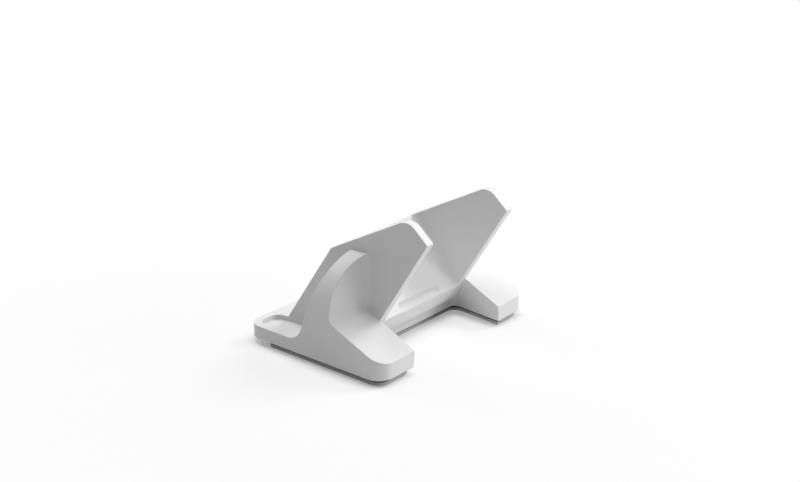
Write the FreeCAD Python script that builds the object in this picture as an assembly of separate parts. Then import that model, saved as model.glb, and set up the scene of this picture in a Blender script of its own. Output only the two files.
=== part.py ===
"""Controller stand: a white moulded body on a grey base pad.

Millimetres, +Z up. X runs across the stand, -Y is its front, where the grips rest, and +Y its rear,
where two fins lean back between two feet. The origin is on the table, under the middle of the stand.
"""
import FreeCAD
import Part
import math
import os

V = FreeCAD.Vector

# Overall
DEPTH = 98.0              # front face to the tips of the fins
UNDERSIDE = 3.3           # height of the body's underside over the table
FOOT_SETBACK = 7.1        # the feet end this far short of the fin tips
FOOT_HALF_WIDTH = 62.3    # half width over both feet, at their ends
SIDE_FLARE = 5.2          # angle by which each side opens towards the rear
FRONT_CORNER = 9.0        # radius of the upright front corners
FOOT_CORNER = 8.0         # radius of the upright outer corners of the feet
EDGE_RADIUS = 0.4         # on the outer edges above the underside
LEAST_EDGE = 40.0         # an edge that turns by less than this angle isn't rounded

# Fins and the channel between them
FIN_OUTER = 36.1          # half distance over the fins' outer faces
FIN_THICKNESS = 5.1
FIN_TIP_HEIGHT = 65.3
REAR_LEAN = 57.4          # angle of the rear face over the horizontal
CROWN_SLOPE = 42.8        # fall of the short edge between crown and tip
CROWN_RUN = 15.6          # length of that edge, to the sharp corner under the crown
CROWN_RADIUS = 8.0
SEAT_SLOPE = 26.5         # fall of the fins' long top edge towards the front
RIDGE_SETBACK = 40.2      # front face to the ridge at the top of the channel
CHANNEL_SLOPE = 49.4      # fall of the channel's floor towards the rear
CHANNEL_RADIUS = 2.5      # between the channel's floor and the fins
SCOOP_LENGTH = 36.0       # shallow finger scoop at the foot of the channel
SCOOP_RADIUS = 3.7
SCOOP_DEPTH = 1.3
SCOOP_RISE = 2.3          # scoop's middle above the channel's lower edge, along the slope

# Feet and the notch between them
FOOT_END_HEIGHT = 11.5    # top of the foot at its end face
FOOT_RISE_INNER = 27.2    # rise of the foot's top towards the front, along the fin
FOOT_RISE_OUTER = 21.4    # the same along the outer side
NOTCH_FLARE = 10.2        # angle by which the feet's lower inner edges open towards the front
NOTCH_LEAN = 0.5          # how far those edges lie outside the fins at the ends of the feet
NOTCH_CORNER = 3.0        # radius in the notch's inner corners
STEP_HEIGHT = 6.6         # set-back strip along the bottom of the notch's end
STEP_DEPTH = 3.5

# Side walls, pockets and front
POCKET_INNER = 28.2       # foot's end to the pocket's front wall, at the fin
POCKET_OUTER = 33.15      # the same where the wall runs out at the side
POCKET_HOLLOW = 0.4       # how far that wall curves in
POCKET_FILLET = 3.5       # between that wall and the foot's top
POCKET_VALLEY = 3.0       # radius of the upright valley between that wall and the fin
SHOULDER_START = 27.0     # height where the side begins to round over
SHOULDER_RADIUS = 28.0
RIM_HEIGHT = 10.0         # top of the front rim
WALL_TOP = 10.0           # thickness of the side wall at its top, beside the fin
CRADLE_SLOPE = 69.0       # slope of the grips' back wall, the side wall's front
CRADLE_FILLET = 10.0
PANEL_SLOPE = 56.0        # slope of the front panel under the ridge
DISH_DEPTH = 2.5          # shallow dish that each grip stands in
DISH_RIM = 4.0
DISH_CORNER = 5.0
CORNER_SHARE = 0.45       # most of a dish's shorter side that one corner takes

# Hollow underside and base pad
WALL = 4.0
CORE_TOP = 30.0           # top of the hollow inside each side wall
PAD_INSET = 2.2           # pad's edge inside the body's edge
PAD_FRONT_SETBACK = 11.0  # front face to the pad's front edge
PAD_CORNER = 6.0
PAD_SEAT = 1.5            # depth of the seat that the pad is let into
PAD_CLEARANCE = 0.2       # round the pad's edge in its seat

FAR = 200.0               # reach of cutting bodies past the stand
OVERLAP = 1.0             # reach of a cutting body past the face it cuts through
PROBE = 0.02              # step off an edge that tells an outer edge from a hollow one

FRONT_Y = -DEPTH / 2
TIP_Y = DEPTH / 2
FOOT_END_Y = TIP_Y - FOOT_SETBACK
FIN_INNER = FIN_OUTER - FIN_THICKNESS
FIN_MIDDLE = FIN_OUTER - FIN_THICKNESS / 2
RIDGE_Y = FRONT_Y + RIDGE_SETBACK
POCKET_Y = FOOT_END_Y - POCKET_INNER
REACH_Y = TIP_Y + FOOT_SETBACK
CROWN_Y = TIP_Y - CROWN_RUN * math.cos(math.radians(CROWN_SLOPE))
CROWN_Z = FIN_TIP_HEIGHT + CROWN_RUN * math.sin(math.radians(CROWN_SLOPE))


def slope(angle):
    return math.tan(math.radians(angle))


def side_x(y):
    """Half width of the body's outline at station y."""
    return FOOT_HALF_WIDTH - (FOOT_END_Y - y) * slope(SIDE_FLARE)


def rear_y(z):
    """Station of the leaning rear face at height z."""
    return TIP_Y - (FIN_TIP_HEIGHT - z) / slope(REAR_LEAN)


def seat_z(y):
    """Height of the fins' long top edge."""
    return CROWN_Z - (CROWN_Y - y) * slope(SEAT_SLOPE)


def shoulder_z(x, y):
    """Height of the side's rounded-over top at distance x from the middle."""
    across = x - side_x(y) + SHOULDER_RADIUS
    return SHOULDER_START + math.sqrt(SHOULDER_RADIUS ** 2 - across ** 2)


RIDGE_Z = seat_z(RIDGE_Y)


def channel_z(y):
    """Height of the channel's floor."""
    return RIDGE_Z - (y - RIDGE_Y) * slope(CHANNEL_SLOPE)


def panel_y(z):
    """Station of the front panel at height z."""
    return RIDGE_Y - (RIDGE_Z - z) / slope(PANEL_SLOPE)


def cradle_y(z):
    """Station of the grips' back wall at height z."""
    return POCKET_Y - WALL_TOP - (shoulder_z(FIN_OUTER, POCKET_Y) - z) / slope(CRADLE_SLOPE)


def foot_z(y, rise):
    """Height of a foot's top, along its inner or outer edge."""
    return FOOT_END_HEIGHT + (FOOT_END_Y - y) * slope(rise)


def prism_yz(points, x_from, x_to):
    """Side profile, given as (y, z) points, carried across from x_from to x_to."""
    corners = [V(x_from, y, z) for y, z in points]
    face = Part.Face(Part.makePolygon(corners + corners[:1]))
    return face.extrude(V(x_to - x_from, 0, 0))


def prism_xy(points, z_from, z_to):
    """Plan outline, given as (x, y) points, carried up from z_from to z_to."""
    corners = [V(x, y, z_from) for x, y in points]
    face = Part.Face(Part.makePolygon(corners + corners[:1]))
    return face.extrude(V(0, 0, z_to - z_from))


def mirrored_x(vector):
    return V(-vector.x, vector.y, vector.z)


def mirrored(shape):
    """The same shape on the other side of the stand."""
    return shape.mirror(V(0, 0, 0), V(1, 0, 0))


def both_sides(shape):
    return shape.fuse(mirrored(shape))


def edges_at(shape, test):
    """Edges of the shape whose two ends both pass the test."""
    return [e for e in shape.Edges if all(test(v.Point) for v in e.Vertexes)]


def near(a, b):
    return abs(a - b) < 0.01


def middle_of(edge):
    return edge.valueAt((edge.FirstParameter + edge.LastParameter) / 2)


def turn_at(solid, edge):
    """Angle between the two faces at an edge's middle, or 0 for a hollow edge or a seam in one face."""
    faces = solid.ancestorsOfType(edge, Part.Face)
    if len(faces) == 1:
        return 0
    middle = middle_of(edge)
    first, second = [face.normalAt(*face.Surface.parameter(middle)) for face in faces]
    hollow = solid.isInside(middle + (second - first) * PROBE, PROBE / 100, True)
    return 0 if hollow else math.degrees(first.getAngle(second))


def outer_edges(shape):
    """Sharp edges of half the body, without those on its middle plane and round its underside."""
    solid = shape.Solids[0]
    on_plane = edges_at(solid, lambda p: near(p.x, 0))
    on_plane += edges_at(solid, lambda p: near(p.z, UNDERSIDE))
    skipped = [e.hashCode() for e in on_plane]
    return [e for e in solid.Edges if e.hashCode() not in skipped and turn_at(solid, e) > LEAST_EDGE]


def outline(inset, front_y, end_y, front_radius, end_radius, z_from, z_to):
    """Body outline drawn in by an inset, with its four upright corners rounded."""
    slant = inset / math.cos(math.radians(SIDE_FLARE))
    front_x = side_x(front_y) - slant
    end_x = side_x(end_y) - slant
    plan = [(-front_x, front_y), (front_x, front_y), (end_x, end_y), (-end_x, end_y)]
    block = prism_xy(plan, z_from, z_to)
    block = block.makeFillet(front_radius, upright_edges(block, front_y))
    return block.makeFillet(end_radius, upright_edges(block, end_y))


def upright_edges(block, y):
    edges = edges_at(block, lambda p: near(p.y, y))
    return [e for e in edges if near(e.tangentAt(e.FirstParameter).z ** 2, 1)]


def centre_block():
    """One fin and its half of the wedge between the fins."""
    step_z = UNDERSIDE + STEP_HEIGHT
    profile = [
        (notch_end_y(), UNDERSIDE),
        (notch_end_y(), step_z),
        (rear_y(step_z), step_z),
        (TIP_Y, FIN_TIP_HEIGHT),
        (CROWN_Y, CROWN_Z),
        (RIDGE_Y, RIDGE_Z),
        (panel_y(UNDERSIDE), UNDERSIDE),
    ]
    block = prism_yz(profile, 0, FIN_OUTER)
    crown = edges_at(block, lambda p: near(p.y, CROWN_Y) and near(p.z, CROWN_Z))
    block = block.makeFillet(CROWN_RADIUS, crown).cut(channel())
    edges = [e for e in outer_edges(block) if middle_of(e).z > step_z + EDGE_RADIUS]
    return block.makeFillet(EDGE_RADIUS, edges)


def heel():
    """Lower end of the fin, square where it runs into the foot beside it."""
    step_z = UNDERSIDE + STEP_HEIGHT
    lean = slope(REAR_LEAN)
    rise = slope(FOOT_RISE_INNER)
    level = FOOT_END_HEIGHT + FOOT_END_Y * rise - FIN_TIP_HEIGHT + TIP_Y * lean
    meet_y = level / (lean + rise)
    front_y = notch_end_y()
    profile = [
        (rear_y(step_z), step_z),
        (meet_y, foot_z(meet_y, FOOT_RISE_INNER)),
        (front_y, foot_z(front_y, FOOT_RISE_INNER)),
        (front_y, step_z),
    ]
    return prism_yz(profile, FIN_INNER, FIN_OUTER)


def channel():
    """Space between the fins: a trough with rounded lower corners that falls to the rear."""
    trough = Part.makeBox(2 * FIN_INNER, FAR, FAR, V(-FIN_INNER, -FAR / 2, 0))
    lower = edges_at(trough, lambda p: near(p.z, 0))
    lower = [e for e in lower if near(e.tangentAt(e.FirstParameter).y ** 2, 1)]
    trough = trough.makeFillet(CHANNEL_RADIUS, lower)
    trough.rotate(V(0, 0, 0), V(1, 0, 0), -CHANNEL_SLOPE)
    trough.translate(V(0, RIDGE_Y, RIDGE_Z))
    return trough


def scoop():
    """Shallow finger scoop with round ends across the foot of the channel."""
    angle = math.radians(CHANNEL_SLOPE)
    uphill = V(0, -math.cos(angle), math.sin(angle))
    outward = V(0, math.sin(angle), math.cos(angle))
    low_z = rear_channel_z()
    low_y = RIDGE_Y + (RIDGE_Z - low_z) / slope(CHANNEL_SLOPE)
    centre = V(0, low_y, low_z) + uphill * SCOOP_RISE + outward * (SCOOP_RADIUS - SCOOP_DEPTH)
    end = V(SCOOP_LENGTH / 2, 0, 0)
    turn = end - V(SCOOP_RADIUS, 0, 0)
    top = outward * SCOOP_RADIUS
    round_in = V(SCOOP_RADIUS, 0, 0) * math.cos(math.pi / 4) + top * math.sin(math.pi / 4)
    right = Part.Arc(centre + end, centre + turn + round_in, centre + turn + top).toShape()
    left = Part.Arc(centre - turn + top, centre - turn + mirrored_x(round_in), centre - end).toShape()
    sides = [
        right,
        Part.makeLine(centre + turn + top, centre - turn + top),
        left,
        Part.makeLine(centre - end, centre + end),
    ]
    return Part.Face(Part.Wire(sides)).revolve(centre, V(1, 0, 0), 360)


def rear_channel_z():
    """Height where the channel's floor runs out in the leaning rear face."""
    rear = slope(REAR_LEAN)
    fall = slope(CHANNEL_SLOPE)
    y = (RIDGE_Z + RIDGE_Y * fall - FIN_TIP_HEIGHT + TIP_Y * rear) / (rear + fall)
    return channel_z(y)


def pocket_wall_y(x):
    """Station of the pocket's front wall at distance x from the middle, before it is hollowed."""
    side_y = FOOT_END_Y - POCKET_OUTER
    share = (x - FIN_OUTER) / (side_x(side_y) - FIN_OUTER)
    return POCKET_Y + (side_y - POCKET_Y) * share


def pocket_section(y, x_inner, x_outer):
    """Outline of the space over a foot's top at station y."""
    inner = foot_z(y, FOOT_RISE_INNER)
    outer = foot_z(y, FOOT_RISE_OUTER)
    reach = (x_outer - x_inner) / (FOOT_HALF_WIDTH - x_inner)
    corners = [
        V(x_inner, y, inner),
        V(x_outer, y, inner + (outer - inner) * reach),
        V(x_outer, y, FAR),
        V(x_inner, y, FAR),
    ]
    return Part.makePolygon(corners + corners[:1])


def pocket():
    """Space over one foot, behind the side wall and outside the fin."""
    x_outer = FOOT_HALF_WIDTH + FIN_THICKNESS
    sections = [pocket_section(y, FIN_OUTER, x_outer) for y in (FRONT_Y, REACH_Y)]
    space = Part.makeLoft(sections, True, True)
    inner = V(FIN_OUTER, POCKET_Y, 0)
    outer = V(x_outer, pocket_wall_y(x_outer), 0)
    middle = (inner + outer) * 0.5 - V(0, POCKET_HOLLOW, 0)
    wall = Part.Arc(inner, middle, outer).toShape()
    back = [outer, V(x_outer, FAR, 0), V(FIN_OUTER, FAR, 0), inner]
    plan = Part.Face(Part.Wire([wall] + Part.makePolygon(back).Edges))
    upright = plan.extrude(V(0, 0, FAR))
    space = space.common(upright)
    wall_foot = edges_at(space, lambda p: p.z < FAR / 2 and any(near(p.y, end.y) for end in (inner, outer)))
    valley = edges_at(upright, lambda p: near(p.x, FIN_OUTER) and near(p.y, POCKET_Y))
    return space.makeFillet(POCKET_FILLET, wall_foot).common(upright.makeFillet(POCKET_VALLEY, valley))


def side_block():
    """One side of the stand as a plain block: upright below, rounded over above, ends rounded in plan."""
    x_wall = side_x(0)
    top_z = SHOULDER_START + SHOULDER_RADIUS
    top_x = x_wall - SHOULDER_RADIUS
    middle = V(top_x, 0, SHOULDER_START) + V(1, 0, 1).normalize() * SHOULDER_RADIUS
    arc = Part.Arc(V(x_wall, 0, SHOULDER_START), middle, V(top_x, 0, top_z)).toShape()
    rest = [
        V(top_x, 0, top_z),
        V(0, 0, top_z),
        V(0, 0, UNDERSIDE),
        V(x_wall, 0, UNDERSIDE),
        V(x_wall, 0, SHOULDER_START),
    ]
    section = Part.Face(Part.Wire([arc] + Part.makePolygon(rest).Edges))
    along = V(slope(SIDE_FLARE), 1, 0)
    section.translate(along * -FAR)
    length = Part.makeBox(FAR, FOOT_END_Y - FRONT_Y, FAR, V(0, FRONT_Y, 0))
    block = section.extrude(along * 2 * FAR).common(length)
    for y, radius in ((FRONT_Y, FRONT_CORNER), (FOOT_END_Y, FOOT_CORNER)):
        upright = [e for e in upright_edges(block, y) if e.CenterOfMass.x > FIN_OUTER]
        block = block.makeFillet(radius, upright)
    return block


def cradle():
    """Space for one grip: over the front rim and in front of its sloping back wall."""
    low_y = cradle_y(RIM_HEIGHT)
    profile = [
        (-FAR, RIM_HEIGHT),
        (low_y, RIM_HEIGHT),
        (cradle_y(FAR), FAR),
        (-FAR, FAR),
    ]
    space = prism_yz(profile, FIN_MIDDLE, FAR)
    corner = edges_at(space, lambda p: near(p.y, low_y) and near(p.z, RIM_HEIGHT))
    return space.makeFillet(CRADLE_FILLET, corner)


def dish():
    """Shallow dish in the rim that one grip stands in."""
    inner = FIN_OUTER
    front = FRONT_Y + DISH_RIM
    back = cradle_y(RIM_HEIGHT) - CRADLE_FILLET
    plan = [
        (inner, front),
        (side_x(front) - DISH_RIM, front),
        (side_x(back) - DISH_RIM, back),
        (inner, back),
    ]
    hollow = prism_xy(plan, RIM_HEIGHT - DISH_DEPTH, RIM_HEIGHT + DISH_DEPTH)
    short_side = min(back - front, side_x(front) - DISH_RIM - inner)
    corner = min(DISH_CORNER, short_side * CORNER_SHARE)
    return hollow.makeFillet(corner, upright_edges(hollow, front) + upright_edges(hollow, back))


def notch_end_y():
    """Station of the set-back strip that ends the notch."""
    return rear_y(UNDERSIDE + STEP_HEIGHT) - STEP_DEPTH


def notch_half_width(y):
    """Half width between the feet's lower inner edges."""
    return FIN_OUTER + NOTCH_LEAN + (FOOT_END_Y - y) * slope(NOTCH_FLARE)


def notch_section(y):
    """Space between the feet at station y, from the underside to the level of their tops."""
    low = notch_half_width(y)
    high = foot_z(y, FOOT_RISE_INNER)
    corners = [
        V(-low, y, UNDERSIDE),
        V(low, y, UNDERSIDE),
        V(FIN_OUTER, y, high),
        V(-FIN_OUTER, y, high),
    ]
    return Part.makePolygon(corners + corners[:1])


def notch():
    """Space between the feet, under and behind the leaning rear face."""
    end_y = notch_end_y()
    step_z = UNDERSIDE + STEP_HEIGHT
    between = Part.makeLoft([notch_section(end_y), notch_section(REACH_Y)], True, True)
    corners = edges_at(between, lambda p: near(p.y, end_y))
    corners = [e for e in corners if abs(e.tangentAt(e.FirstParameter).z) > 0.5]
    between = between.makeFillet(NOTCH_CORNER, corners)
    profile = [
        (end_y - STEP_DEPTH, 0),
        (end_y - STEP_DEPTH, step_z),
        (rear_y(step_z), step_z),
        (rear_y(FAR), FAR),
        (FAR, FAR),
        (FAR, 0),
    ]
    return between.common(prism_yz(profile, -FAR, FAR))


def base_outline(inset, z_from, z_to, front_setback):
    """Plan of the pad: the body's outline drawn in, with the notch drawn out by as much."""
    front_y = FRONT_Y + front_setback
    back_y = FOOT_END_Y - inset
    block = outline(inset, front_y, back_y, PAD_CORNER, FOOT_CORNER - inset, z_from, z_to)
    end_y = notch_end_y() - inset
    slant = inset / math.cos(math.radians(NOTCH_FLARE))
    deep_x = notch_half_width(end_y) + slant
    mouth_x = notch_half_width(REACH_Y) + slant
    plan = [(-deep_x, end_y), (deep_x, end_y), (mouth_x, REACH_Y), (-mouth_x, REACH_Y)]
    gap = prism_xy(plan, z_from - OVERLAP, z_to + OVERLAP)
    gap = gap.makeFillet(NOTCH_CORNER + inset, upright_edges(gap, end_y))
    return block.cut(gap)


def cores():
    """Hollows that lighten the body from below, under the channel and in each side."""
    half = FIN_INNER - WALL / 2
    lean = 1 / math.sin(math.radians(PANEL_SLOPE))
    fall = 1 / math.cos(math.radians(CHANNEL_SLOPE))
    front = panel_y(UNDERSIDE) + WALL * lean
    back = notch_end_y() - WALL
    top_y = front + (channel_z(front) - WALL * fall - UNDERSIDE) / (slope(PANEL_SLOPE) + slope(CHANNEL_SLOPE))
    middle = prism_yz(
        [
            (front, UNDERSIDE),
            (top_y, UNDERSIDE + (top_y - front) * slope(PANEL_SLOPE)),
            (back, channel_z(back) - WALL * fall),
            (back, UNDERSIDE),
        ],
        -half,
        half,
    )
    wall_y = min(POCKET_Y, FOOT_END_Y - POCKET_OUTER) - POCKET_HOLLOW - WALL
    cradle_lean = WALL / math.sin(math.radians(CRADLE_SLOPE))
    top_drop = WALL / math.cos(math.radians(FOOT_RISE_INNER))
    end_y = FOOT_END_Y - WALL
    side = prism_yz(
        [
            (cradle_y(UNDERSIDE) + cradle_lean, UNDERSIDE),
            (cradle_y(CORE_TOP) + cradle_lean, CORE_TOP),
            (wall_y, CORE_TOP),
            (wall_y, foot_z(wall_y, FOOT_RISE_OUTER) - top_drop),
            (end_y, foot_z(end_y, FOOT_RISE_OUTER) - top_drop),
            (end_y, UNDERSIDE),
        ],
        FIN_OUTER,
        FAR,
    )
    inside = base_outline(WALL, UNDERSIDE, CORE_TOP + OVERLAP, PAD_FRONT_SETBACK + WALL)
    return middle.fuse(both_sides(side.common(inside)))


def side_wall():
    """One side of the stand: foot, side wall let into the fin and front rim, rounded outside the fin."""
    side = side_block()
    over_foot = pocket()
    valley_y = min(v.Y for v in over_foot.Vertexes if near(v.X, FIN_OUTER))
    over_centre = Part.makeBox(2 * FIN_MIDDLE, FAR, FAR, V(-FIN_MIDDLE, -FAR / 2, RIM_HEIGHT))
    behind_wall = Part.makeBox(2 * FIN_OUTER, FAR, FAR, V(-FIN_OUTER, valley_y, RIM_HEIGHT))
    for space in (over_centre, behind_wall, over_foot, cradle()):
        side = side.cut(space)
    edges = []
    for edge in outer_edges(side):
        middle = middle_of(edge)
        if middle.x > FIN_OUTER + EDGE_RADIUS or near(middle.y, FRONT_Y):
            edges.append(edge)
    return side.Solids[0].makeFillet(EDGE_RADIUS, edges)


def stand_body():
    half = side_wall().fuse([centre_block(), heel()]).cut(notch()).removeSplitter()
    seat_inset = PAD_INSET - PAD_CLEARANCE
    seat_front = PAD_FRONT_SETBACK - PAD_CLEARANCE
    seat = base_outline(seat_inset, UNDERSIDE, UNDERSIDE + PAD_SEAT, seat_front)
    for space in (scoop(), dish(), seat, cores()):
        half = half.cut(space)
    return both_sides(half).removeSplitter()


def base_pad():
    return base_outline(PAD_INSET, 0, UNDERSIDE + PAD_SEAT, PAD_FRONT_SETBACK)


def main():
    os.makedirs("parts", exist_ok=True)
    for name, shape in (("stand_body", stand_body()), ("base_pad", base_pad())):
        box = shape.optimalBoundingBox(False)
        print(name, len(shape.Solids), "solid", shape.isValid(), round(shape.Volume / 1000, 2), "cm3", box)
        shape.exportStep(f"parts/{name}.step")


main()
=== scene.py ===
"""Looks of the controller stand: white moulded plastic on a grey rubber pad, under soft studio light.

Metres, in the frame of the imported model. +Z is up, -Y is the stand's front and +Y its rear.
"""
import math

import bpy
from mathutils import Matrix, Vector


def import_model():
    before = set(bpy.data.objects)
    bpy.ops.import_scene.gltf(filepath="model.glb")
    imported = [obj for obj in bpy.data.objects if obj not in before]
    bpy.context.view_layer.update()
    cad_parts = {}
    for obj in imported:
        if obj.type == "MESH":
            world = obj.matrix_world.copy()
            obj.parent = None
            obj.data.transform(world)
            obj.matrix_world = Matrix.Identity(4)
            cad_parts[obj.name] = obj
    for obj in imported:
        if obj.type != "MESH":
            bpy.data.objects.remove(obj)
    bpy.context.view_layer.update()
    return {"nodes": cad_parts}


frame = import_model()

# Camera, matched to the photograph's viewing angle
CAMERA_PLACE = (0.5667, 0.4316, 0.2907)
CAMERA_AZIMUTH = 126.9
CAMERA_ELEVATION = 18.8
CAMERA_LENS = 67.5
CAMERA_SENSOR = 36.0

# Noises of the finishes: patches in a metre, layers of detail, strength of the finer layers
CLOUD = (60, 3, 0.5)
GRAIN = (2600, 2, 0.5)
SMUDGE = (140, 4, 0.6)
PEBBLE = (1400, 3, 0.5)
SPECK = (420, 5, 0.7)

# Moulded plastic
PLASTIC_WHITE = (0.79, 0.79, 0.79, 1)
PLASTIC_SHADE = (0.76, 0.76, 0.765, 1)
PLASTIC_IOR = 1.49
PLASTIC_ROUGH = 0.46
SMUDGE_ROUGH = 0.08
GRAIN_ROUGH = 0.06
GRAIN_DEPTH = 0.00003
GRAIN_STRENGTH = 0.35

# Pad rubber, and the heights between which its colour darkens into painted shade from the body's
# overhang, along its top edge under the body
RUBBER_GREY = (0.57, 0.57, 0.575, 1)
RUBBER_SPECK = (0.63, 0.63, 0.63, 1)
RUBBER_IOR = 1.5
RUBBER_ROUGH = 0.68
PEBBLE_ROUGH = 0.16
PEBBLE_DEPTH = 0.00006
PEBBLE_STRENGTH = 0.6
OVERHANG_PAINTED_SHADE = (0.11, 0.11, 0.112, 1)
PAINTED_SHADE_FROM = 0.0013
PAINTED_SHADE_FULL = 0.0015

# Floor
WHITE = (1, 1, 1, 1)
FLOOR_WHITE = (0.90, 0.90, 0.90, 1)
FLOOR_HALF = 4.0        # half of its side
FLOOR_DROP = 0.0001     # how far it lies below the pad
FLOOR_NEAR = 0.08       # distance from the middle where it starts to run out to white
FLOOR_FAR = 0.30        # distance from which it is white
FLOOR_LIFT = 0.7        # share of white that the camera sees in it, in the open
SHADOW_LIFT = 0.28      # the same at the foot of the pad
SHADOW_REACH = 0.008    # how near a wall has to be to darken it
SHADOW_SAMPLES = 16
HALF_SKY = 0.5          # share of the sky left open at the foot of a wall

# Light
WORLD_LIGHT = 0.05
SEEN_WHITE = 1.0
LAMP_AIM = Vector((0, 0, 0.03))

# Sockets of the colour Mix node, which has several of each name
MIX_FACTOR = 0
MIX_FIRST = 6
MIX_SECOND = 7
MIX_COLOUR = 2


class Value:
    """A shader socket that takes part in Python arithmetic, each step as a Math node."""

    def __init__(self, finish, socket):
        self.finish = finish
        self.socket = socket

    def math(self, operation, *inputs):
        return self.finish.node("ShaderNodeMath", {"operation": operation}, dict(enumerate(inputs)))

    def __add__(self, other):
        return self.math("ADD", self, other)

    __radd__ = __add__

    def __sub__(self, other):
        return self.math("SUBTRACT", self, other)

    def __rsub__(self, other):
        return self.math("SUBTRACT", other, self)

    def __mul__(self, other):
        return self.math("MULTIPLY", self, other)

    __rmul__ = __mul__

    def __truediv__(self, other):
        return self.math("DIVIDE", self, other)

    def __rtruediv__(self, other):
        return self.math("DIVIDE", other, self)

    def clamped(self):
        return self.finish.node("ShaderNodeClamp", {}, {"Value": self})

    def risen(self, start, end):
        """0 up to start, 1 from end on, and in proportion between them."""
        return ((self - start) / (end - start)).clamped()


class Finish:
    """The node tree of one material or of the world."""

    def __init__(self, owner):
        owner.use_nodes = True
        self.tree = owner.node_tree
        self.tree.nodes.clear()

    def node(self, kind, settings, sockets, output=0):
        """Adds a node: its settings first, then the values or links of its sockets."""
        made = self.tree.nodes.new(kind)
        for name, setting in settings.items():
            setattr(made, name, setting)
        for name, value in sockets.items():
            if isinstance(value, Value):
                self.tree.links.new(value.socket, made.inputs[name])
            else:
                made.inputs[name].default_value = value
        return Value(self, made.outputs[output])

    def place(self):
        """Position on the piece, in metres."""
        return self.node("ShaderNodeTexCoord", {}, {}, "Object")

    def noise(self, scale, detail, rough):
        sockets = {"Vector": self.place(), "Scale": scale, "Detail": detail, "Roughness": rough}
        return self.node("ShaderNodeTexNoise", {}, sockets, "Fac")

    def mix(self, factor, first, second):
        settings = {"data_type": "RGBA", "blend_type": "MIX"}
        sockets = {MIX_FACTOR: factor, MIX_FIRST: first, MIX_SECOND: second}
        return self.node("ShaderNodeMix", settings, sockets, MIX_COLOUR)

    def mix_shaders(self, share, first, second):
        return self.node("ShaderNodeMixShader", {}, {0: share, 1: first, 2: second})

    def bump(self, height, distance, strength):
        sockets = {"Height": height, "Distance": distance, "Strength": strength}
        return self.node("ShaderNodeBump", {}, sockets)

    def seen(self):
        """1 for what the camera sees directly, mirrored or through glass, 0 for light on the object."""
        kinds = ("Is Camera Ray", "Is Glossy Ray", "Is Transmission Ray")
        direct, mirrored, through = [self.node("ShaderNodeLightPath", {}, {}, kind) for kind in kinds]
        return (direct + mirrored + through).clamped()

    def surface(self, shader, target="ShaderNodeOutputMaterial"):
        """Ends the tree in its output node, which has no socket to go on from."""
        output = self.tree.nodes.new(target)
        self.tree.links.new(shader.socket, output.inputs["Surface"])


def moulded_plastic():
    """White plastic with the fine even grain of its mould."""
    material = bpy.data.materials.new("moulded_plastic")
    finish = Finish(material)
    cloud = finish.noise(*CLOUD)
    grain = finish.noise(*GRAIN)
    smudge = finish.noise(*SMUDGE)
    sockets = {
        "Base Color": finish.mix(cloud, PLASTIC_WHITE, PLASTIC_SHADE),
        "Roughness": PLASTIC_ROUGH + SMUDGE_ROUGH * smudge + GRAIN_ROUGH * grain,
        "Normal": finish.bump(grain, GRAIN_DEPTH, GRAIN_STRENGTH),
        "IOR": PLASTIC_IOR,
    }
    finish.surface(finish.node("ShaderNodeBsdfPrincipled", {}, sockets))
    return material


def pad_rubber():
    """Mid-grey rubber with a pebbled skin."""
    material = bpy.data.materials.new("pad_rubber")
    finish = Finish(material)
    pebble = finish.noise(*PEBBLE)
    speck = finish.noise(*SPECK)
    height = finish.node("ShaderNodeSeparateXYZ", {}, {"Vector": finish.place()}, "Z")
    rubber = finish.mix(speck, RUBBER_GREY, RUBBER_SPECK)
    sockets = {
        # painted shade: the pad's top band is coloured dark as if shaded by the body above it
        "Base Color": finish.mix(height.risen(PAINTED_SHADE_FROM, PAINTED_SHADE_FULL), rubber, OVERHANG_PAINTED_SHADE),
        "Roughness": RUBBER_ROUGH + PEBBLE_ROUGH * pebble,
        "Normal": finish.bump(pebble, PEBBLE_DEPTH, PEBBLE_STRENGTH),
        "IOR": RUBBER_IOR,
    }
    finish.surface(finish.node("ShaderNodeBsdfPrincipled", {}, sockets))
    return material


def dress(node, material):
    """Gives a solid its finish."""
    piece = frame["nodes"][node]
    piece.data.materials.clear()
    piece.data.materials.append(material)


def studio_floor():
    """Pale paint that keeps the stand's shadow, and that the camera sees run out to white."""
    material = bpy.data.materials.new("studio_floor")
    finish = Finish(material)
    away = finish.node("ShaderNodeVectorMath", {"operation": "LENGTH"}, {0: finish.place()}, "Value")
    far = away.risen(FLOOR_NEAR, FLOOR_FAR)
    nearby = {"Distance": SHADOW_REACH}
    sky = finish.node("ShaderNodeAmbientOcclusion", {"samples": SHADOW_SAMPLES}, nearby, "AO")
    lift = SHADOW_LIFT + (FLOOR_LIFT - SHADOW_LIFT) * sky.risen(HALF_SKY, 1)
    share = (lift + (1 - lift) * far) * finish.seen()
    paint = finish.node("ShaderNodeBsdfDiffuse", {}, {"Color": FLOOR_WHITE})
    glow = finish.node("ShaderNodeEmission", {}, {"Color": WHITE, "Strength": SEEN_WHITE})
    finish.surface(finish.mix_shaders(share, paint, glow))
    return material


def floor():
    """Level square under the stand, just clear of the pad."""
    sides = [(-1, -1), (1, -1), (1, 1), (-1, 1)]
    corners = [(FLOOR_HALF * x, FLOOR_HALF * y, -FLOOR_DROP) for x, y in sides]
    mesh = bpy.data.meshes.new("floor")
    mesh.from_pydata(corners, [], [(0, 1, 2, 3)])
    mesh.materials.append(studio_floor())
    piece = bpy.data.objects.new("floor", mesh)
    bpy.context.scene.collection.objects.link(piece)


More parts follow.
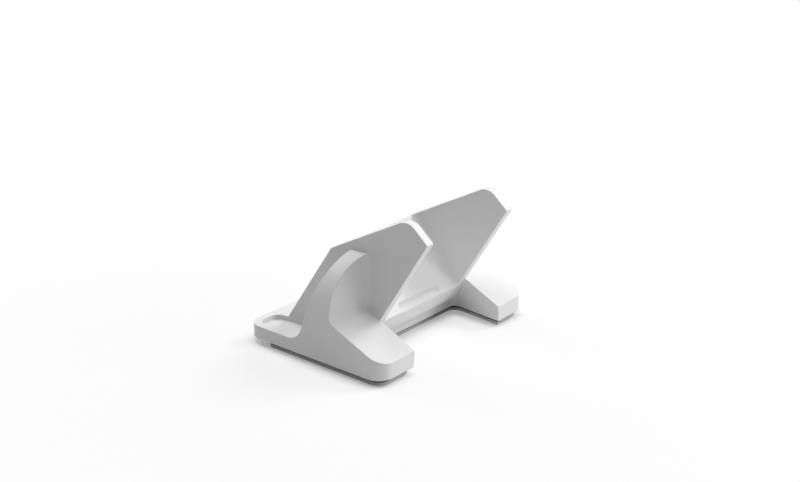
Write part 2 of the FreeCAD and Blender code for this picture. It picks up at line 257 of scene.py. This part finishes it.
def world():
    """Even light from all round, and white where the camera looks past the floor."""
    sky = bpy.data.worlds.new("studio")
    bpy.context.scene.world = sky
    finish = Finish(sky)
    dim = finish.node("ShaderNodeBackground", {}, {"Color": WHITE, "Strength": WORLD_LIGHT})
    bright = finish.node("ShaderNodeBackground", {}, {"Color": WHITE, "Strength": SEEN_WHITE})
    finish.surface(finish.mix_shaders(finish.seen(), dim, bright), "ShaderNodeOutputWorld")


def softbox(name, azimuth, elevation, reach, side, power):
    """Square lamp of that side and power in watts, at that reach from the stand and turned towards it.

    Azimuth and elevation are in degrees. Azimuth 0 stands in front, 90 on the +X side and 180 behind.
    """
    turn = math.radians(azimuth)
    lift = math.radians(elevation)
    level = math.cos(lift)
    away = Vector((math.sin(turn) * level, -math.cos(turn) * level, math.sin(lift)))
    lamp = bpy.data.lights.new(name, "AREA")
    lamp.size = side
    lamp.energy = power
    piece = bpy.data.objects.new(name, lamp)
    piece.location = LAMP_AIM + away * reach
    piece.rotation_euler = away.to_track_quat("Z", "Y").to_euler()
    piece.visible_camera = False
    bpy.context.scene.collection.objects.link(piece)


def camera():
    """Camera behind the stand and to its +X side, looking a little down."""
    lens = bpy.data.cameras.new("camera")
    lens.sensor_fit = "HORIZONTAL"
    lens.sensor_width = CAMERA_SENSOR
    lens.lens = CAMERA_LENS
    piece = bpy.data.objects.new("camera", lens)
    piece.location = CAMERA_PLACE
    piece.rotation_euler = (math.radians(90 - CAMERA_ELEVATION), 0, math.radians(CAMERA_AZIMUTH))
    bpy.context.scene.collection.objects.link(piece)
    bpy.context.scene.camera = piece


dress("stand_body", moulded_plastic())
dress("base_pad", pad_rubber())
floor()
world()
softbox("key", azimuth=241, elevation=40, reach=2.0, side=0.80, power=23.0)
softbox("rear_low", azimuth=204, elevation=15, reach=1.0, side=0.40, power=2.0)
softbox("high", azimuth=150, elevation=88, reach=0.65, side=0.40, power=2.15)
softbox("front", azimuth=0, elevation=40, reach=1.0, side=0.50, power=3.0)
camera()
bpy.context.scene.view_settings.view_transform = "Standard"
